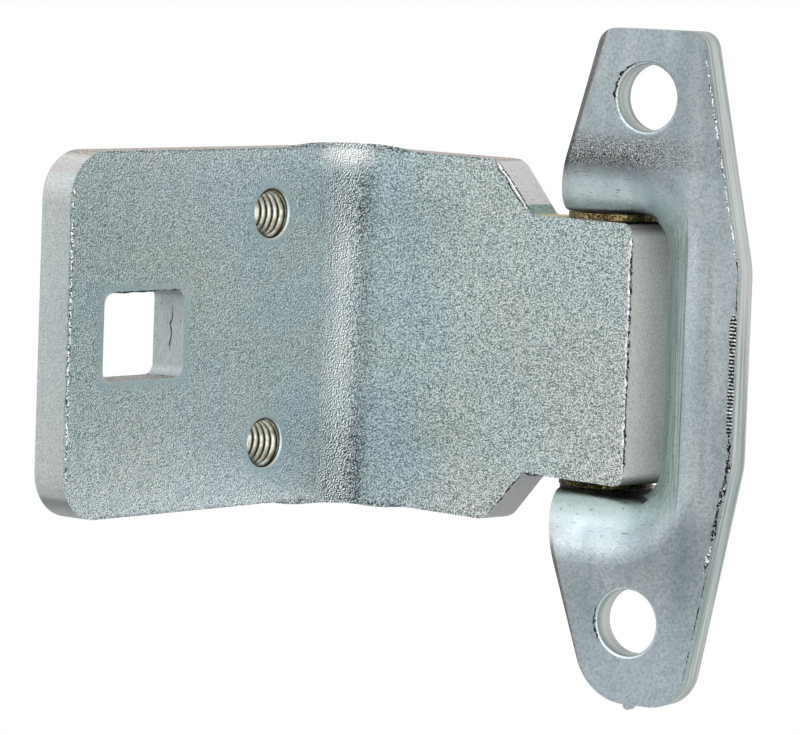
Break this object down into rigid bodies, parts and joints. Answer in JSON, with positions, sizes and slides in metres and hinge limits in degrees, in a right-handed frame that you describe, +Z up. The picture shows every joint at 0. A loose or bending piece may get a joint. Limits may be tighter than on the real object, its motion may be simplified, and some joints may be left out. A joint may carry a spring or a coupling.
{
  "type": "car door hinge",
  "caption": "Car door hinge: a thick cranked door leaf with tapped holes and a window turns on a riveted pin between the rolled ears of a pressed pillar leaf.",
  "frame": {"origin": "midway between the two bolt holes, on the pillar leaf's seating face", "axes": "+Z up along the hinge pin, +Y out of the seating face into the pillar, the flange faces -Y"},
  "size_m": [0.1003, 0.0695, 0.1042],
  "materials": {
    "zinc_plate": "zinc-plated thick steel plate with a fine orange-peel grain",
    "zinc_sheet": "zinc-plated drawn steel sheet, smooth on the rolls, with sheared edges",
    "pin_steel": "zinc-plated turned steel",
    "bush_brass": "plain bronze or brass sliding surface"
  },
  "bodies": {
    "pillar": {"pillar_leaf": "zinc_sheet", "hinge_pin": "pin_steel"},
    "door": {"door_leaf": "zinc_plate", "upper_bush": "bush_brass", "lower_bush": "bush_brass"}
  },
  "joints": [
    {"name": "door_swing", "type": "hinge", "parent": "pillar", "child": "door", "pos_m": [-0.01445, 0.0135, 0], "axis": [0, 0, 1], "range_deg": [-10, 98]}
  ]
}
